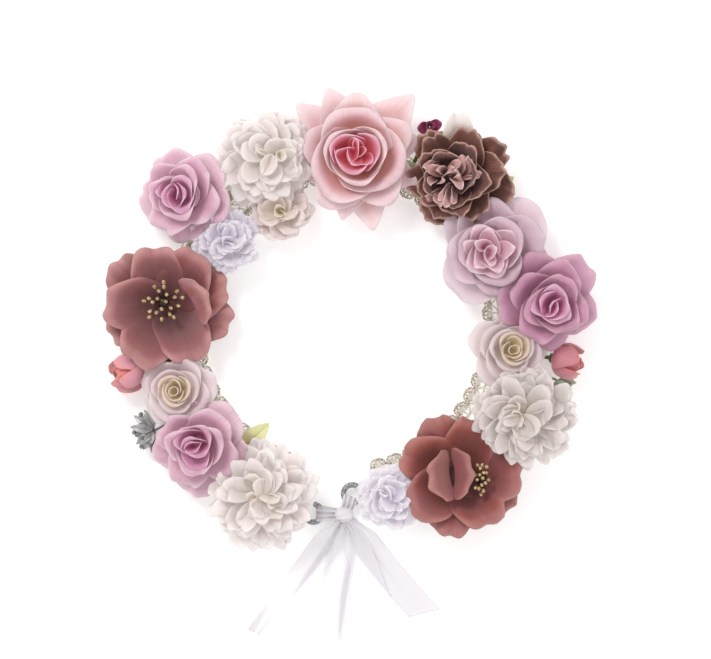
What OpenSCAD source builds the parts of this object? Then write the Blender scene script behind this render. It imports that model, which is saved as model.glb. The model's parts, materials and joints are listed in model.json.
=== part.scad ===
// Flower crown: a tape-wound spring-wire hoop, open at the back, with beaded scalloped
// lace under it, silk flowers on wire stems, and an organza ribbon tied between its two eyes.
// It lies flat: +Z is up, +Y is the front (the largest rose), the origin is on the ring's
// axis in the plane that the lace rests on.

/* [Band] */
// Radius of the hoop wire's centre line
band_r = 88; // [70:1:110]
// Radius of the spring wire
wire_r = 1.1; // [0.8:0.1:1.5]
// Thickness of the tape wound round the wire
wrap_t = 1.4; // [0.8:0.1:2]
// Where the band ends on the right of the opening, degrees round the ring
band_end_right = -79.5; // [-80:0.5:-76]
// Where the band ends on the left of the opening, degrees round the ring
band_end_left = 251; // [245:0.5:254]
// Gap between the two halves of the band at the front, where the wire flexes
flex_gap = 1; // [0.8:0.1:2]

/* [Lace trim] */
// Thickness of the lace
lace_t = 1.2; // [0.8:0.1:1.6]
// How far the lace reaches outward from the wire's centre line
lace_out = 5; // [3:0.5:8]
// How far the scallop tips reach inward from the wire's centre line
lace_in = 16; // [13:0.5:19]
// Number of scallops that a full ring would have
scallops = 54; // [40:1:64]
// Radius of the beads sewn on the scallops
bead_r = 1.3; // [0.8:0.1:1.5]

/* [Eyes] */
// Radius of an eye loop at its wire's centre
eye_r = 4.6; // [4.2:0.1:6]
// Radius of the metallic cord that covers an eye loop
eye_cord_r = 1.5; // [1.2:0.1:1.7]
// Place of the left eye, as the angle round the ring and its distance in band radii
eye_left_at = [261.1, 1.13]; // [0:0.01:270]
// Place of the right eye, as the angle round the ring and its distance in band radii
eye_right_at = [-86.9, 1.003]; // [-90:0.001:10]
// Length of the black binding on each shank
binding_l = 3.5; // [2.5:0.5:3.5]
// Thickness of the black binding
binding_t = 0.7; // [0.4:0.1:1]

/* [Flower heads] */
// Height of the heads' undersides over the band's top
head_rise = 3.5; // [3.3:0.1:7]
// Depth of a calyx cup under a head
cup_h = 3.2; // [2:0.1:3.4]
// Radius of a calyx cup's rim
cup_r = 6; // [4.5:0.5:8]
// Radius of the stem wires
stem_r = 1; // [0.7:0.1:1.2]
// Depth of the pocket that holds a heart or a stamen boss
pocket_h = 7; // [4:0.5:9]
// How far a heart stands over its petals
heart_rise = 2; // [1:0.5:4]
// Radius of a rolled heart, as a share of its head's radius
heart_share = 0.3; // [0.2:0.01:0.32]
// Radius of the boss that carries the stamens
boss_r = 7.5; // [5:0.5:9]
// Stamens on an open flower
stamens = 20; // [12:1:24]

/* [Flower layout: angle, reach in band radii, radius in band radii, head height] */
// Large blush rose at the front
top_rose = [84.9, 0.981, 0.35, 26]; // [-180:0.001:360]
// Brown rose right of it
mocha_rose = [51.9, 1.093, 0.29, 22]; // [-180:0.001:360]
// Blush rose on the right
blush_rose = [25.4, 0.991, 0.28, 21]; // [-180:0.001:360]
// Mauve rose on the right
mauve_rose_right = [6.4, 1.2, 0.27, 25]; // [-180:0.001:360]
// Small cream rose on the right
cream_rose_right = [-9.2, 0.984, 0.18, 17]; // [-180:0.001:360]
// White cluster blossom on the right
blossom_right = [-26.8, 1.187, 0.26, 23]; // [-180:0.001:360]
// Open dusty flower on the right
dusty_flower_right = [-52.4, 1.116, 0.31, 19]; // [-180:0.001:360]
// Lilac carnation at the right of the opening
carnation_right = [-74.9, 1.049, 0.18, 18]; // [-180:0.001:360]
// Cream cluster blossom at the left of the opening
blossom_bottom_left = [244.8, 1.107, 0.29, 23]; // [-180:0.001:360]
// Mauve rose on the lower left
mauve_rose_left = [220.5, 1.094, 0.26, 23]; // [-180:0.001:360]
// Small cream rose on the left
cream_rose_left = [202.1, 1.036, 0.2, 18]; // [-180:0.001:360]
// Open dusty flower on the left
dusty_flower_left = [174.2, 1.04, 0.345, 19]; // [-180:0.001:360]
// Lilac carnation on the upper left
carnation_left = [144.9, 0.839, 0.18, 17]; // [-180:0.001:360]
// Mauve rose on the upper left
mauve_rose_top_left = [140.7, 1.174, 0.24, 24]; // [-180:0.001:360]
// Small cream flower on the inner side at the front
cream_flower_top = [119.2, 0.754, 0.16, 14]; // [-180:0.001:360]
// Cream cluster blossom left of the large rose
blossom_top_left = [115.3, 1.062, 0.26, 22]; // [-180:0.001:360]

/* [Buds: angle, reach in band radii, radius in mm, centre height] */
// Coral bud on the right
coral_bud_right = [-9.5, 1.31, 7.5, 11]; // [-180:0.01:360]
// Coral bud on the left
coral_bud_left = [193, 1.272, 7.5, 11]; // [-180:0.01:360]
// Magenta bud behind the brown rose
magenta_bud = [66.1, 1.248, 6, 12]; // [-180:0.01:360]

/* [Sprigs and leaves: angle, reach in band radii] */
// Centre of the silver leaf and berry cluster
silver_sprig = [209.7, 1.314]; // [-180:0.001:360]
// Centre of the green berry sprig
green_sprig = [-14.8, 1.35]; // [-180:0.001:360]
// Length of a leaf
leaf_l = 20; // [14:1:24]
// Width of a leaf
leaf_w = 9; // [5:0.5:12]
// Thickness of a leaf
leaf_t = 0.7; // [0.5:0.1:1]

/* [Ribbon] */
// Width of the organza ribbon
ribbon_w = 14.5; // [10:0.5:20]
// Thickness of a tail as it lies
ribbon_t = 0.6; // [0.5:0.1:1]
// Radius of the knot
knot_r = 3.4; // [3:0.1:3.6]
// Radius of the gathered strands between the knot and the eyes
strand_r = 1.3; // [1:0.1:1.5]
// Place of the knot, as the angle round the ring and its distance in band radii
knot_at = [-89.7, 1.125]; // [-180:0.001:10]
// Length of the straight tail
tail_straight_l = 62; // [40:1:90]
// Length of the diagonal tail
tail_diagonal_l = 62; // [40:1:90]
// Length of the outer left tail
tail_left_l = 72; // [40:1:100]
// Length of the outer right tail
tail_right_l = 70; // [40:1:100]
// Directions of the straight, diagonal, left and right tails, degrees from +X
tail_dirs = [-96, -51, -124, -68]; // [-150:1:-30]

/* [Fits] */
// Clearance round wires and hearts that sit in a sleeve or a pocket
fit = 0.15; // [0.05:0.05:0.3]
// Clearance between soft heads in one half of the band
head_gap = 0.6; // [0.3:0.1:1.5]
// Clearance round pieces that move by themselves
move_gap = 1.4; // [0.8:0.1:3]
// Clearance between heads on the two halves of the band
flex_clear = 2.4; // [2:0.1:4]
// Depth that stems are bound into the wrap and the cups
bite = 0.5; // [0.3:0.1:1]

/* [Hidden] */
$fn = 48;
TUBE_FN = 24;

FRONT = 90;
wrap_r = wire_r + fit + wrap_t;
band_z = lace_t + wrap_r;
band_top = band_z + wrap_r;
head_z = band_top + head_rise;
cup_z = head_z - cup_h;
flex_deg = flex_gap / 2 / band_r * 180 / PI;
link_gap = 0.2;
LEAF_Z = head_z - 1.2;
LEVELS = [for (i = [0 : 3]) i * (ribbon_t + 0.4)];
TILT = 70;
link_cord_r = strand_r * 0.6;
link_r = eye_cord_r + link_gap + link_cord_r;
knot_z = band_z + knot_r * 0.45;
tail_drop = knot_z - 1.5;

// Heads on each half of the band
RIGHT_HEADS = [top_rose, mocha_rose, blush_rose, mauve_rose_right, cream_rose_right,
    blossom_right, dusty_flower_right, carnation_right];
LEFT_HEADS = [blossom_bottom_left, mauve_rose_left, cream_rose_left, dusty_flower_left,
    carnation_left, mauve_rose_top_left, cream_flower_top, blossom_top_left];

// Point on the ring plane at an angle and a distance from the axis
function polar(a, r) = [r * cos(a), r * sin(a)];
function spot(p) = polar(p[0], p[1] * band_r);
function head_r(p) = p[2] * band_r;
function heart_r(p) = heart_share * head_r(p);

knot_p = spot(knot_at);
eye_right_p = spot(eye_right_at);
eye_left_p = spot(eye_left_at);

// A straight round rod between two points
module rod(p, q, r) {
    d = q - p;
    l = norm(d);
    translate(p)
        rotate([0, acos(d[2] / l), atan2(d[1], d[0])])
            cylinder(h = l, r = r, $fn = TUBE_FN);
}

// One stretch of a tube bent round the ring, r outside and bore inside
module ring_tube(from, to, r, bore) {
    translate([0, 0, band_z])
        rotate([0, 0, from])
            rotate_extrude(angle = to - from, $fn = 96)
                translate([band_r, 0])
                    difference() {
                        circle(r, $fn = TUBE_FN);
                        if (bore > 0) circle(bore, $fn = TUBE_FN);
                    }
}

// ---- Band ----
module hoop_wire(from, to) {
    color("dimgray") ring_tube(from, to, wire_r, 0);
}

module band_wrap(from, to) {
    color("darkseagreen") ring_tube(from, to, wrap_r, wire_r + fit);
}

// Outline of a stretch of the ring between two radii
module sector_2d(from, to, r_in, r_out) {
    steps = 6;
    sweep = to - from;
    intersection() {
        difference() {
            circle(r_out, $fn = 96);
            circle(r_in, $fn = 96);
        }
        polygon(concat([[0, 0]], [for (i = [0 : steps]) polar(from + sweep * i / steps, r_out * 1.2)]));
    }
}

scallop_pitch = 360 / scallops;
scallop_r = (band_r - lace_in) * sin(scallop_pitch / 2) * 1.06;
scallop_at = band_r - lace_in + scallop_r;

// Angles of the scallops that fit between two ends
function scallop_angles(from, to) =
    [for (a = [from + scallop_pitch / 2 : scallop_pitch : to - scallop_pitch / 2]) a];

module lace_trim(from, to) {
    color("lemonchiffon")
        linear_extrude(lace_t) {
            sector_2d(from, to, scallop_at, band_r + lace_out);
            for (a = scallop_angles(from, to))
                translate(polar(a, scallop_at)) circle(scallop_r, $fn = TUBE_FN);
        }
}

module lace_beads(from, to) {
    color("darkgoldenrod")
        for (a = scallop_angles(from, to))
            translate(concat(polar(a, scallop_at - scallop_r * 0.35), [lace_t]))
                rotate_extrude($fn = TUBE_FN)
                    intersection() {
                        circle(bead_r, $fn = TUBE_FN);
                        square(bead_r);
                    }
}

// ---- Eyes at the ends of the band ----
// The wire's end runs straight to its eye and is bent round into an open loop
module eye_loop(end_deg, eye_p, open_deg) {
    end_p = polar(end_deg, band_r);
    v = eye_p - end_p;
    start = end_p - v / norm(v) * bite;
    shank_end = end_p + v / norm(v) * (norm(v) - eye_r);
    color("gray") {
        rod(concat(start, [band_z]), concat(shank_end, [band_z]), wire_r);
        translate(concat(eye_p, [band_z]))
            rotate([0, 0, atan2(-v[1], -v[0])])
                rotate_extrude(angle = 360 - open_deg, $fn = 64)
                    translate([eye_r, 0]) circle(eye_cord_r, $fn = TUBE_FN);
    }
}

// Black tape bound over the shank beside the eye
module eye_binding(end_deg, eye_p) {
    end_p = polar(end_deg, band_r);
    v = eye_p - end_p;
    u = v / norm(v);
    near = concat(end_p + u * (norm(v) - eye_r - eye_cord_r - binding_l - fit), [band_z]);
    along = concat(u, [0]);
    color("black")
        difference() {
            rod(near, near + along * binding_l, wire_r + fit + binding_t);
            rod(near - along, near + along * (binding_l + 1), wire_r + fit);
        }
}

// ---- Stems and cups ----
// A stem wire from the band's top to the cup of each head
module stem_wires(heads) {
    color("olivedrab")
        for (p = heads) {
            foot = concat(polar(p[0], band_r), [band_top - bite]);
            top = concat(spot(p), [cup_z + bite]);
            rod(foot, top, stem_r);
        }
}

// A green cup glued under each head
module calyx_cups(heads) {
    color("darkolivegreen")
        for (p = heads)
            translate(concat(spot(p), [cup_z]))
                cylinder(h = cup_h, r1 = cup_r * 0.45, r2 = cup_r);
}

// ---- Flower heads ----
// Outline of one whorl: round petals on a disc
module whorl_2d(r, petals) {
    share = 1.12 * sin(180 / petals);
    lobe = r * share / (1 + share);
    circle(r - lobe);
    for (i = [0 : petals - 1])
        rotate([0, 0, i * 360 / petals])
            translate([r - lobe, 0]) circle(lobe, $fn = 32);
}

// Whorls that grow narrower upward, each turned half a petal from the last
module whorls(r, h, tiers, petals, taper) {
    lap = 0.4;
    for (k = [0 : tiers - 1])
        translate([0, 0, h * k / tiers - (k > 0 ? lap : 0)])
            rotate([0, 0, k * 180 / petals])
                linear_extrude(h / tiers + (k > 0 ? lap : 0)) whorl_2d(r * (1 - taper * k), petals);
}

// What a head is pressed flat against: [[x, y], radius] pairs of its neighbours
module room(at, over) {
    far = 80;
    for (o = over) {
        d = o[0] - spot(at);
        rotate([0, 0, atan2(d[1], d[0])])
            translate([norm(d) - o[1], -far / 2, -1]) cube([far, far, far]);
    }
}

function over_head(p, gap) = [spot(p), head_r(p) + gap];
function over_bud(p) = [spot(p), p[2] + move_gap];

// A head in its place, tucked under the neighbours listed in over
module head(p, tiers, petals, taper, pocket_r, over = []) {
    translate(concat(spot(p), [head_z]))
        difference() {
            rotate([0, 0, p[0]]) whorls(head_r(p), p[3], tiers, petals, taper);
            if (pocket_r > 0)
                translate([0, 0, p[3] - pocket_h]) cylinder(h = pocket_h + 1, r = pocket_r);
            room(p, over);
        }
}

// A coiled heart: a knob with ring grooves between its rolled petals
module heart(p) {
    rings = 3;
    r = heart_r(p) - fit;
    groove = 0.4;
    h = pocket_h + heart_rise;
    translate(concat(spot(p), [head_z + p[3] - pocket_h]))
        difference() {
            cylinder(h = h, r = r);
            for (i = [1 : rings])
                translate([0, 0, h - heart_rise])
                    difference() {
                        cylinder(h = heart_rise + 1, r = r * i / (rings + 0.6) + groove);
                        translate([0, 0, -1])
                            cylinder(h = heart_rise + 3, r = r * i / (rings + 0.6) - groove);
                    }
        }
}

// A boss with beaded stamens standing on it in two rings
module stamen_boss(p) {
    boss_h = pocket_h - 2;
    bead = 1.1;
    edge = boss_r - fit - bead;
    stalk = 5;
    inner = floor(stamens * 0.35);
    translate(concat(spot(p), [head_z + p[3] - pocket_h])) {
        cylinder(h = boss_h, r = boss_r - fit);
        for (i = [0 : stamens - 1]) {
            ring = i < inner ? edge * 0.45 : edge;
            turn = i < inner ? i * 360 / inner : (i - inner) * 360 / (stamens - inner);
            translate(concat(polar(turn, ring), [boss_h - bite])) {
                cylinder(h = stalk, r = 0.4, $fn = 16);
                translate([0, 0, stalk]) sphere(bead, $fn = 16);
            }
        }
    }
}

// ---- Buds and sprigs on wires that bend ----
// Foot of a bending stem, just clear of the wrap's outer side
function bend_foot(a) = concat(polar(a, band_r + wrap_r + 0.4), [band_z]);

module bud_petals(p, shade) {
    c = concat(spot(p), [p[3]]);
    color(shade)
        translate(c)
            rotate([0, TILT, p[0]])
                union() {
                    sphere(p[2]);
                    cylinder(h = p[2] * 1.25, r1 = p[2] * 0.8, r2 = p[2] * 0.3);
                }
}

// The cup behind a bud and its wire down to the band
module bud_calyx(p) {
    c = concat(spot(p), [p[3]]);
    back = 0.94 * p[2];
    dir = concat(polar(p[0], sin(TILT)), [cos(TILT)]);
    cup_l = 3;
    color("darkolivegreen")
        difference() {
            union() {
                translate(c - dir * (back + cup_l * 0.4))
                    rotate([0, TILT, p[0]])
                        cylinder(h = cup_l, r1 = stem_r * 1.3, r2 = p[2] * 0.62);
                rod(bend_foot(p[0]), c - dir * (back + cup_l * 0.3), stem_r);
            }
            translate(c) sphere(p[2] + 0.02);
        }
}

// Outline of a pointed leaf, its foot at the origin and its tip along +X
module leaf_2d(l, w) {
    bow = (l * l / 4 + w * w / 4) / w;
    translate([l / 2, 0])
        intersection() {
            translate([0, bow - w / 2]) circle(bow, $fn = 96);
            translate([0, w / 2 - bow]) circle(bow, $fn = 96);
        }
}

// A sprig whose wire leaves the band and ends in a fan of leaves with berries between them;
// turn swings the fan away from the straight way out
module sprig(p, turn, leaves, l, w, berries, berry_r) {
    mid = concat(spot([p[0], p[1] - 0.06]), [band_z + 1]);
    hub = stem_r * 1.7;
    rod(bend_foot(p[0]), mid, stem_r * 0.8);
    translate(mid) rotate([0, 0, p[0] + 125]) cylinder(h = hub * 1.6, r = hub, center = true);
    for (i = [0 : leaves - 1])
        translate(mid)
            rotate([0, 0, p[0] + turn + (i - (leaves - 1) / 2) * 180 / leaves])
                rotate([0, i % 2 == 0 ? -7 : 7, 0])
                    translate([hub * 0.5, 0, -leaf_t / 2]) linear_extrude(leaf_t) leaf_2d(l, w);
    for (i = [0 : berries - 1]) {
        a = p[0] + turn + (i - (berries - 1) / 2) * 180 / leaves;
        tip = mid + concat(polar(a, l * (i % 2 == 0 ? 0.6 : 0.85)), [berry_r * 1.3]);
        rod(mid, tip, stem_r * 0.5);
        translate(tip) rotate([0, 0, a]) sphere(berry_r, $fn = 24);
    }
}

// A leaf laid between the heads: [angle, reach of its foot, direction, lift]
module leaf(a, reach, dir, lift) {
    foot = concat(polar(a, band_r * reach), [lift]);
    translate(foot)
        rotate([0, 0, a + dir])
            translate([0, 0, -leaf_t / 2]) linear_extrude(leaf_t) leaf_2d(leaf_l, leaf_w);
    rod(concat(polar(a, band_r), [band_top - bite]), foot + concat(polar(a + dir, 4), [0]), stem_r * 0.7);
}

// ---- Ribbon ----
module ribbon_knot() {
    color("white")
        translate(concat(knot_p, [knot_z]))
            intersection() {
                sphere(knot_r);
                rotate([0, 90, 0]) cylinder(h = 2 * knot_r, r = knot_r * 0.93, center = true);
            }
}

// A strand looped through an eye and led to the knot, which it stops just short of
module ribbon_strand(eye_p) {
    v = knot_p - eye_p;
    u = v / norm(v);
    side = eye_p + u * eye_r;
    start = side + u * link_r;
    from = concat(start, [band_z]);
    to = concat(knot_p, [knot_z]);
    color("white")
        difference() {
            union() {
                translate(concat(side, [band_z]))
                    rotate([90, 0, atan2(u[1], u[0])])
                        rotate_extrude($fn = 48)
                            translate([link_r, 0]) circle(link_cord_r, $fn = TUBE_FN);
                rod(from, to, strand_r);
            }
            translate(to) sphere(knot_r + link_gap * 2);
        }
}

// A tail, gathered at the knot, that falls away as a cone round it and then lies flat.
// Tails at different levels nest, so that they can swing over each other.
module ribbon_tail(dir, l, level, cut_deg) {
    start = knot_r + 0.5;
    fall = 16;
    neck_w = 4;
    z0 = level;
    z1 = level + tail_drop;
    far = l * 2;
    end = start + l;
    slant = ribbon_w / 2 * tan(cut_deg);
    color("white")
        translate(concat(knot_p, [0]))
            intersection() {
                rotate_extrude($fn = 96)
                    polygon([[start, z1], [start + fall, z0], [far, z0], [far, z0 + ribbon_t],
                        [start + fall, z0 + ribbon_t], [start, z1 + ribbon_t]]);
                rotate([0, 0, dir])
                    linear_extrude(band_top * 3)
                        polygon([[0, -neck_w / 2], [start, -neck_w / 2],
                            [start + fall, -ribbon_w / 2], [end + slant, -ribbon_w / 2],
                            [end - slant, ribbon_w / 2], [start + fall, ribbon_w / 2],
                            [start, neck_w / 2], [0, neck_w / 2]]);
            }
}

// ---- Sub-parts ----
// Silk colours that several sub-parts share
WHITE = "ivory";
MAUVE = "thistle";
BLUSH = "mistyrose";
DUSTY = "rosybrown";
LILAC = "lavender";

module hoop_wire_right() hoop_wire(band_end_right, FRONT - flex_deg);
module hoop_wire_left() hoop_wire(FRONT + flex_deg, band_end_left);
module band_wrap_right() band_wrap(band_end_right, FRONT - flex_deg);
module band_wrap_left() band_wrap(FRONT + flex_deg, band_end_left);
module lace_trim_right() lace_trim(band_end_right, FRONT - flex_deg);
module lace_trim_left() lace_trim(FRONT + flex_deg, band_end_left);
module lace_beads_right() lace_beads(band_end_right, FRONT - flex_deg);
module lace_beads_left() lace_beads(FRONT + flex_deg, band_end_left);
module eye_loop_right() eye_loop(band_end_right, eye_right_p, 30);
module eye_loop_left() eye_loop(band_end_left, eye_left_p, 50);
module eye_binding_right() eye_binding(band_end_right, eye_right_p);
module eye_binding_left() eye_binding(band_end_left, eye_left_p);
module stem_wires_right() stem_wires(RIGHT_HEADS);
module stem_wires_left() stem_wires(LEFT_HEADS);
module calyx_cups_right() calyx_cups(RIGHT_HEADS);
module calyx_cups_left() calyx_cups(LEFT_HEADS);

module top_rose_petals() {
    color(BLUSH) head(top_rose, 4, 6, 0.15, heart_r(top_rose));
}
module top_rose_heart() {
    color("lightcoral") heart(top_rose);
}
module mocha_rose_petals() {
    over = [over_head(top_rose, head_gap), over_bud(magenta_bud)];
    color(DUSTY) head(mocha_rose, 4, 7, 0.15, heart_r(mocha_rose), over);
}
module mocha_rose_heart() {
    color("pink") heart(mocha_rose);
}
module blush_rose_petals() {
    over = [over_head(mocha_rose, head_gap), over_head(mauve_rose_right, head_gap)];
    color(BLUSH) head(blush_rose, 4, 5, 0.15, heart_r(blush_rose), over);
}
module blush_rose_heart() {
    color("palevioletred") heart(blush_rose);
}
module mauve_rose_right_petals() {
    color(MAUVE) head(mauve_rose_right, 4, 6, 0.15, heart_r(mauve_rose_right), [over_bud(coral_bud_right)]);
}
module mauve_rose_right_heart() {
    color("orchid") heart(mauve_rose_right);
}
module cream_rose_right_petals() {
    over = [over_head(mauve_rose_right, head_gap), over_head(blossom_right, head_gap),
        over_bud(coral_bud_right)];
    color(WHITE) head(cream_rose_right, 3, 6, 0.2, heart_r(cream_rose_right), over);
}
module cream_rose_right_heart() {
    color("palegoldenrod") heart(cream_rose_right);
}
module blossom_right_petals() {
    color(WHITE) head(blossom_right, 5, 10, 0.17, 0, [over_bud(coral_bud_right)]);
}
module dusty_flower_right_petals() {
    color(DUSTY)
        head(dusty_flower_right, 3, 6, 0.2, boss_r, [over_head(blossom_right, head_gap)]);
}
module dusty_flower_right_stamens() {
    color("darkgoldenrod") stamen_boss(dusty_flower_right);
}
module carnation_right_petals() {
    color(LILAC)
        head(carnation_right, 5, 12, 0.16, 0, [over_head(dusty_flower_right, head_gap)]);
}
module blossom_bottom_left_petals() {
    color(WHITE) head(blossom_bottom_left, 5, 11, 0.17, 0);
}
module mauve_rose_left_petals() {
    over = [over_head(blossom_bottom_left, head_gap)];
    color(MAUVE) head(mauve_rose_left, 4, 6, 0.15, heart_r(mauve_rose_left), over);
}
module mauve_rose_left_heart() {
    color("orchid") heart(mauve_rose_left);
}
module cream_rose_left_petals() {
    over = [over_head(mauve_rose_left, head_gap), over_head(dusty_flower_left, head_gap),
        over_bud(coral_bud_left)];
    color(WHITE) head(cream_rose_left, 3, 6, 0.2, heart_r(cream_rose_left), over);
}
module cream_rose_left_heart() {
    color("palegoldenrod") heart(cream_rose_left);
}
module dusty_flower_left_petals() {
    color(DUSTY) head(dusty_flower_left, 3, 6, 0.2, boss_r, [over_bud(coral_bud_left)]);
}
module dusty_flower_left_stamens() {
    color("darkgoldenrod") stamen_boss(dusty_flower_left);
}
module carnation_left_petals() {
    over = [over_head(dusty_flower_left, head_gap), over_head(mauve_rose_top_left, head_gap)];
    color(LILAC) head(carnation_left, 5, 12, 0.16, 0, over);
}
module mauve_rose_top_left_petals() {
    over = [over_head(blossom_top_left, head_gap)];
    color(MAUVE) head(mauve_rose_top_left, 4, 6, 0.15, heart_r(mauve_rose_top_left), over);
}
module mauve_rose_top_left_heart() {
    color("orchid") heart(mauve_rose_top_left);
}
module cream_flower_top_petals() {
    over = [over_head(blossom_top_left, head_gap), over_head(top_rose, flex_clear),
        over_head(carnation_left, head_gap)];
    color(WHITE) head(cream_flower_top, 3, 7, 0.24, 0, over);
}
module blossom_top_left_petals() {
    color(WHITE) head(blossom_top_left, 5, 10, 0.17, 0, [over_head(top_rose, flex_clear)]);
}
module coral_bud_right_petals() bud_petals(coral_bud_right, "salmon");
module coral_bud_right_calyx() bud_calyx(coral_bud_right);
module coral_bud_left_petals() bud_petals(coral_bud_left, "salmon");
module coral_bud_left_calyx() bud_calyx(coral_bud_left);
module magenta_bud_petals() bud_petals(magenta_bud, "mediumvioletred");
module magenta_bud_calyx() bud_calyx(magenta_bud);
module silver_sprig_leaves() {
    color("slategray") sprig(silver_sprig, 0, 6, 12, 5, 5, 1.6);
}
module green_sprig_berries() {
    color("darkseagreen") sprig(green_sprig, -38, 4, 10, 4, 3, 1.6);
}
module leaves_right() {
    color("darkkhaki") {
        leaf(42, 1.08, -8, LEAF_Z);
        leaf(-38, 1.12, 12, LEAF_Z);
    }
}
module leaves_left() {
    color("darkkhaki") leaf(231, 0.96, 172, LEAF_Z);
}
module ribbon_strand_right() ribbon_strand(eye_right_p);
module ribbon_strand_left() ribbon_strand(eye_left_p);
module ribbon_tail_straight() {
    ribbon_tail(tail_dirs[0], tail_straight_l, LEVELS[0], 8);
}
module ribbon_tail_diagonal() {
    ribbon_tail(tail_dirs[1], tail_diagonal_l, LEVELS[1], -25);
}
module ribbon_tail_left() {
    ribbon_tail(tail_dirs[2], tail_left_l, LEVELS[2], 10);
}
module ribbon_tail_right() {
    ribbon_tail(tail_dirs[3], tail_right_l, LEVELS[3], -10);
}

hoop_wire_right();
hoop_wire_left();
band_wrap_right();
band_wrap_left();
lace_trim_right();
lace_trim_left();
lace_beads_right();
lace_beads_left();
eye_loop_right();
eye_loop_left();
eye_binding_right();
eye_binding_left();
stem_wires_right();
stem_wires_left();
calyx_cups_right();
calyx_cups_left();
top_rose_petals();
top_rose_heart();
mocha_rose_petals();
mocha_rose_heart();
blush_rose_petals();
blush_rose_heart();
mauve_rose_right_petals();
mauve_rose_right_heart();
cream_rose_right_petals();
cream_rose_right_heart();
blossom_right_petals();
dusty_flower_right_petals();
dusty_flower_right_stamens();
carnation_right_petals();
blossom_bottom_left_petals();
mauve_rose_left_petals();
mauve_rose_left_heart();
cream_rose_left_petals();
cream_rose_left_heart();
dusty_flower_left_petals();
dusty_flower_left_stamens();
carnation_left_petals();
mauve_rose_top_left_petals();
mauve_rose_top_left_heart();
cream_flower_top_petals();
blossom_top_left_petals();
coral_bud_right_petals();
coral_bud_right_calyx();
coral_bud_left_petals();
coral_bud_left_calyx();
magenta_bud_petals();
magenta_bud_calyx();
silver_sprig_leaves();
green_sprig_berries();
leaves_right();
leaves_left();
ribbon_knot();
ribbon_strand_right();
ribbon_strand_left();
ribbon_tail_straight();
ribbon_tail_diagonal();
ribbon_tail_left();
ribbon_tail_right();
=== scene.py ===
# %% [markdown]
# # A silk flower crown
# The crown is a wire hoop, open at the back, with lace under it and silk flowers on top. An organza
# ribbon ties its two ends. The imported CAD model gives every place and size, so it is loaded first.

# %% Load the frame
import json
from math import atan2, cos, degrees, pi, radians, sin, sqrt, tan
import bpy
import numpy as np
from mathutils import Matrix, Vector

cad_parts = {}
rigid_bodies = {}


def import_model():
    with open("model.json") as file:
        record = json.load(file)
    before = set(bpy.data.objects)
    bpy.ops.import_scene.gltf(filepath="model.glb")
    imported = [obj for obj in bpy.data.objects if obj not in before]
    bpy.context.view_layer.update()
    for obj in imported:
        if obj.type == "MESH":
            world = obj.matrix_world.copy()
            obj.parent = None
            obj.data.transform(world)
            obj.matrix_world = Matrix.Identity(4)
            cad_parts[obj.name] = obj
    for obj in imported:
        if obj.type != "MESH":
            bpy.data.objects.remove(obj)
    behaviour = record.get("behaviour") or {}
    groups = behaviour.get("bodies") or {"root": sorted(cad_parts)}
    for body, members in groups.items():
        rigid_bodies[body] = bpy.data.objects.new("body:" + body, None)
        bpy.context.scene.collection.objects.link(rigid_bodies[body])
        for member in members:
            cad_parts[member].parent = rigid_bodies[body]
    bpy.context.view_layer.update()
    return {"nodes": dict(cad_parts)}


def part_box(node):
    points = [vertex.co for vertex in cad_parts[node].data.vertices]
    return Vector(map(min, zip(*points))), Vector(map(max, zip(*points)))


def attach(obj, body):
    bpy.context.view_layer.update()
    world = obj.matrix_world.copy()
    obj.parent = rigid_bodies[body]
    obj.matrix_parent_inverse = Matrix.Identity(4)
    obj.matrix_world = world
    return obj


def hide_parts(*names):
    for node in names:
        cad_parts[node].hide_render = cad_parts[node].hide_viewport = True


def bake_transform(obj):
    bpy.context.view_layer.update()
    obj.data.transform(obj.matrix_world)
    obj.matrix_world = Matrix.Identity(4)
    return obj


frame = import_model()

MM = 0.001
nodes = frame["nodes"]
shelf = bpy.context.collection.objects
dice = np.random.default_rng

# %% [markdown]
# ## Camera, floor and light
# A crown laid on a table is looked at from straight above. A long lens far away shows the petals
# without much perspective. One white floor, a bright sky and two wide lamps give the soft light of
# a product table, where shadows are only hints.

# %% Camera
VIEW_WIDTH = 364 * MM
LENS = 150
SENSOR = 36
AIM = Vector((6.4 * MM, -3.3 * MM, 18 * MM))

cam_data = bpy.data.cameras.new("camera")
cam_data.lens = LENS
cam_data.sensor_width = SENSOR
camera = bpy.data.objects.new("camera", cam_data)
camera.location = AIM + Vector((0, 0, VIEW_WIDTH * LENS / SENSOR))
shelf.link(camera)
bpy.context.scene.camera = camera
bpy.context.scene.view_settings.view_transform = "Standard"
print("camera height", round(camera.location.z, 3))

# %% Sky and lamps
world = bpy.data.worlds.new("sky")
bpy.context.scene.world = world
world.use_nodes = True
sky = world.node_tree.nodes["Background"]
sky.inputs["Color"].default_value = (1, 0.985, 0.97, 1)
sky.inputs["Strength"].default_value = 0.78


def lamp(name, place, size, watts, colour):
    data = bpy.data.lights.new(name, "AREA")
    data.shape = "DISK"
    data.size = size
    data.energy = watts
    data.color = colour
    obj = bpy.data.objects.new(name, data)
    obj.location = place
    obj.rotation_euler = (AIM - obj.location).to_track_quat("-Z", "Y").to_euler()
    shelf.link(obj)


lamp("key", Vector((-0.55, 0.75, 1.1)), 0.55, 9.5, (1, 0.98, 0.95))
lamp("fill", Vector((0.9, -0.5, 0.9)), 0.9, 3.5, (0.95, 0.97, 1))
print("lamps placed")


# %% [markdown]
# ## Shader maths as ordinary sums
# A finish is a chain of nodes. Written as sums, `1 - mask` or `a * 0.4 + b` stays readable, so a
# small class wraps a socket and adds the Math node itself. Every other node comes from `node`.

# %% Sockets that can be added and multiplied
def operator(name, flipped=False):
    def run(self, other):
        return self.math(name, other, self) if flipped else self.math(name, self, other)
    return run


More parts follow.
